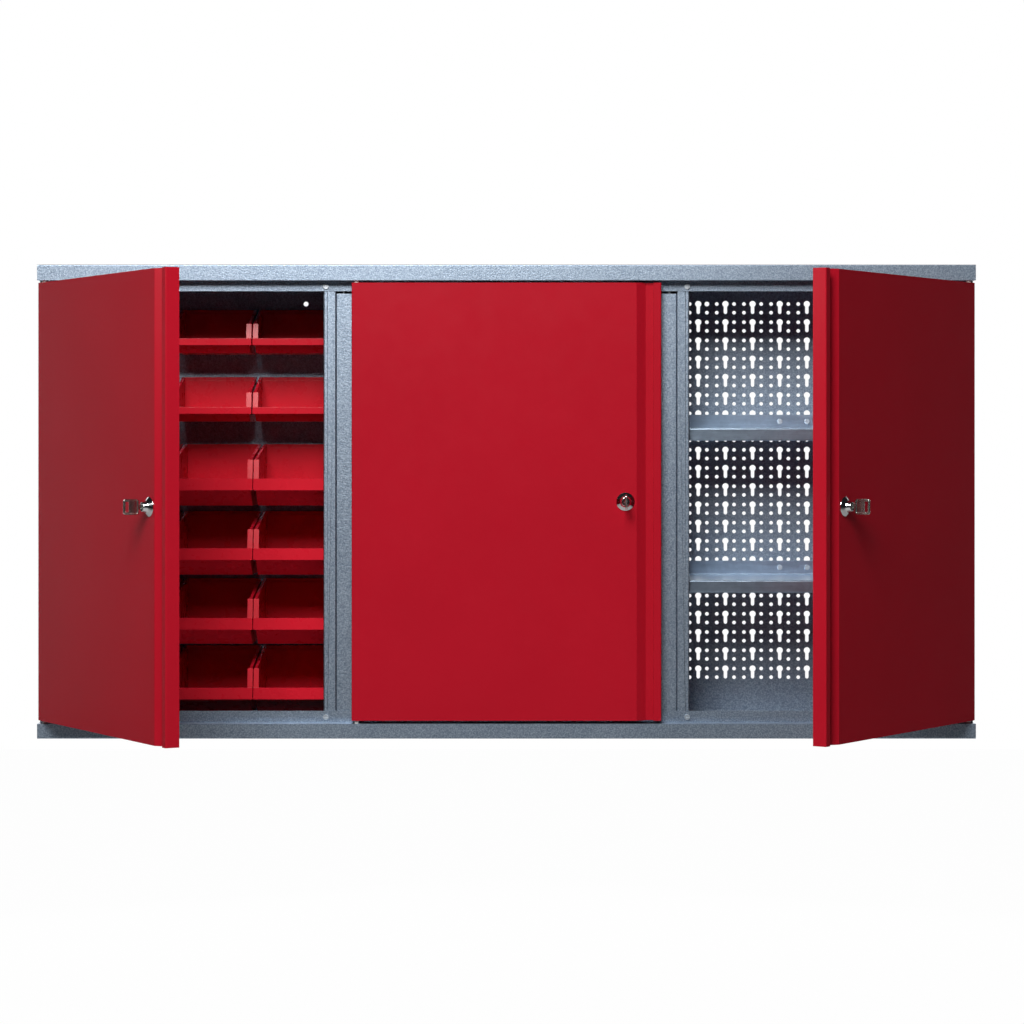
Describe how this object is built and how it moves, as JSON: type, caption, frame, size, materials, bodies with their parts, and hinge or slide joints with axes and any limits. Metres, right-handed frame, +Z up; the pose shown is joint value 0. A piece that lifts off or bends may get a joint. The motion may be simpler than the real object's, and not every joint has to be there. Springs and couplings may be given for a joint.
{
  "type": "workshop wall cabinet",
  "caption": "Shallow steel wall cabinet with lockable red doors, hanging red storage bins, galvanised shelves and a perforated back panel.",
  "frame": {"origin": "midway between the two wall holes, on the rear face of the back panels", "axes": "+X to the viewer's right along the cabinet's width, +Y into the wall, +Z up"},
  "size_m": [1.2, 0.5306, 0.606],
  "materials": {
    "hammer_grey": "blue-grey hammer-effect enamel",
    "red_paint": "satin-gloss red enamel",
    "galvanised": "galvanised sheet",
    "zinc": "bright zinc plate",
    "chrome": "polished chrome",
    "nickel": "nickel-plated",
    "nylon": "white moulded nylon",
    "red_plastic": "red moulded polypropylene"
  },
  "bodies": {
    "carcass": {"top_panel": "hammer_grey", "bottom_panel": "hammer_grey", "left_side_panel": "hammer_grey", "right_side_panel": "hammer_grey", "left_partition": "hammer_grey", "right_partition": "hammer_grey", "left_post": "hammer_grey", "right_post": "hammer_grey", "left_back_panel": "hammer_grey", "centre_back_panel": "hammer_grey", "perforated_back_panel": "hammer_grey", "bin_rails": "hammer_grey", "upper_shelf": "galvanised", "lower_shelf": "galvanised", "shelf_screws": "zinc", "shelf_nuts": "zinc", "frame_screws": "zinc", "pivot_pins": "nylon"},
    "left_door": {"left_door": "red_paint", "left_lock_housing": "chrome", "left_lock_nut": "zinc"},
    "left_lock": {"left_lock_core": "chrome", "left_lock_cam": "zinc", "left_cam_screw": "zinc"},
    "left_key": {"left_key": "nickel"},
    "centre_door": {"centre_door": "red_paint", "centre_lock_housing": "chrome", "centre_lock_nut": "zinc"},
    "centre_lock": {"centre_lock_core": "chrome", "centre_lock_cam": "zinc", "centre_cam_screw": "zinc"},
    "centre_key": {"centre_key": "nickel"},
    "right_door": {"right_door": "red_paint", "right_lock_housing": "chrome", "right_lock_nut": "zinc"},
    "right_lock": {"right_lock_core": "chrome", "right_lock_cam": "zinc", "right_cam_screw": "zinc"},
    "right_key": {"right_key": "nickel"},
    "large_bin_1_1": {"large_bin_1_1": "red_plastic"},
    "large_bin_1_2": {"large_bin_1_2": "red_plastic"},
    "large_bin_1_3": {"large_bin_1_3": "red_plastic"},
    "large_bin_2_1": {"large_bin_2_1": "red_plastic"},
    "large_bin_2_2": {"large_bin_2_2": "red_plastic"},
    "large_bin_2_3": {"large_bin_2_3": "red_plastic"},
    "large_bin_3_1": {"large_bin_3_1": "red_plastic"},
    "large_bin_3_2": {"large_bin_3_2": "red_plastic"},
    "large_bin_3_3": {"large_bin_3_3": "red_plastic"},
    "large_bin_4_1": {"large_bin_4_1": "red_plastic"},
    "large_bin_4_2": {"large_bin_4_2": "red_plastic"},
    "large_bin_4_3": {"large_bin_4_3": "red_plastic"},
    "small_bin_5_1": {"small_bin_5_1": "red_plastic"},
    "small_bin_5_2": {"small_bin_5_2": "red_plastic"},
    "small_bin_5_3": {"small_bin_5_3": "red_plastic"},
    "small_bin_6_1": {"small_bin_6_1": "red_plastic"},
    "small_bin_6_2": {"small_bin_6_2": "red_plastic"},
    "small_bin_6_3": {"small_bin_6_3": "red_plastic"}
  },
  "joints": [
    {"name": "left_door_hinge", "type": "hinge", "parent": "carcass", "child": "left_door", "pos_m": [-0.5915, -0.1835, -0.2618], "axis": [0, 0, -1], "range_deg": [-59, 51]},
    {"name": "left_lock_turn", "type": "hinge", "parent": "left_door", "child": "left_lock", "pos_m": [-0.4199, -0.48171, -0.2618], "axis": [-0.8572, -0.515, 0], "range_deg": [0, 90]},
    {"name": "left_key_draw", "type": "slide", "parent": "left_lock", "child": "left_key", "axis": [-0.8572, -0.515, 0], "range_m": [0, 0.03]},
    {"name": "centre_door_hinge", "type": "hinge", "parent": "carcass", "child": "centre_door", "pos_m": [-0.192, -0.1835, -0.2618], "axis": [0, 0, -1], "range_deg": [0, 108]},
    {"name": "centre_lock_turn", "type": "hinge", "parent": "centre_door", "child": "centre_lock", "pos_m": [0.152, -0.19, -0.2618], "axis": [0, -1, 0], "range_deg": [0, 90]},
    {"name": "centre_key_draw", "type": "slide", "parent": "centre_lock", "child": "centre_key", "axis": [0, -1, 0], "range_m": [0, 0.03]},
    {"name": "right_door_hinge", "type": "hinge", "parent": "carcass", "child": "right_door", "pos_m": [0.5915, -0.1835, -0.2618], "axis": [0, 0, 1], "range_deg": [-55, 55]},
    {"name": "right_lock_turn", "type": "hinge", "parent": "right_door", "child": "right_lock", "pos_m": [0.39951, -0.46902, -0.2618], "axis": [-0.8192, 0.5736, 0], "range_deg": [0, 90]},
    {"name": "right_key_draw", "type": "slide", "parent": "right_lock", "child": "right_key", "axis": [0.8192, -0.5736, 0], "range_m": [0, 0.03]},
    {"name": "large_bin_1_1_lift", "type": "slide", "parent": "carcass", "child": "large_bin_1_1", "axis": [0, 0, 1], "range_m": [0, 0.008]},
    {"name": "large_bin_1_2_lift", "type": "slide", "parent": "carcass", "child": "large_bin_1_2", "axis": [0, 0, 1], "range_m": [0, 0.008]},
    {"name": "large_bin_1_3_lift", "type": "slide", "parent": "carcass", "child": "large_bin_1_3", "axis": [0, 0, 1], "range_m": [0, 0.008]},
    {"name": "large_bin_2_1_lift", "type": "slide", "parent": "carcass", "child": "large_bin_2_1", "axis": [0, 0, 1], "range_m": [0, 0.008]},
    {"name": "large_bin_2_2_lift", "type": "slide", "parent": "carcass", "child": "large_bin_2_2", "axis": [0, 0, 1], "range_m": [0, 0.008]},
    {"name": "large_bin_2_3_lift", "type": "slide", "parent": "carcass", "child": "large_bin_2_3", "axis": [0, 0, 1], "range_m": [0, 0.008]},
    {"name": "large_bin_3_1_lift", "type": "slide", "parent": "carcass", "child": "large_bin_3_1", "axis": [0, 0, 1], "range_m": [0, 0.008]},
    {"name": "large_bin_3_2_lift", "type": "slide", "parent": "carcass", "child": "large_bin_3_2", "axis": [0, 0, 1], "range_m": [0, 0.008]},
    {"name": "large_bin_3_3_lift", "type": "slide", "parent": "carcass", "child": "large_bin_3_3", "axis": [0, 0, 1], "range_m": [0, 0.008]},
    {"name": "large_bin_4_1_lift", "type": "slide", "parent": "carcass", "child": "large_bin_4_1", "axis": [0, 0, 1], "range_m": [0, 0.008]},
    {"name": "large_bin_4_2_lift", "type": "slide", "parent": "carcass", "child": "large_bin_4_2", "axis": [0, 0, 1], "range_m": [0, 0.008]},
    {"name": "large_bin_4_3_lift", "type": "slide", "parent": "carcass", "child": "large_bin_4_3", "axis": [0, 0, 1], "range_m": [0, 0.008]},
    {"name": "small_bin_5_1_lift", "type": "slide", "parent": "carcass", "child": "small_bin_5_1", "axis": [0, 0, 1], "range_m": [0, 0.008]},
    {"name": "small_bin_5_2_lift", "type": "slide", "parent": "carcass", "child": "small_bin_5_2", "axis": [0, 0, 1], "range_m": [0, 0.008]},
    {"name": "small_bin_5_3_lift", "type": "slide", "parent": "carcass", "child": "small_bin_5_3", "axis": [0, 0, 1], "range_m": [0, 0.008]},
    {"name": "small_bin_6_1_lift", "type": "slide", "parent": "carcass", "child": "small_bin_6_1", "axis": [0, 0, 1], "range_m": [0, 0.008]},
    {"name": "small_bin_6_2_lift", "type": "slide", "parent": "carcass", "child": "small_bin_6_2", "axis": [0, 0, 1], "range_m": [0, 0.008]},
    {"name": "small_bin_6_3_lift", "type": "slide", "parent": "carcass", "child": "small_bin_6_3", "axis": [0, 0, 1], "range_m": [0, 0.008]}
  ]
}
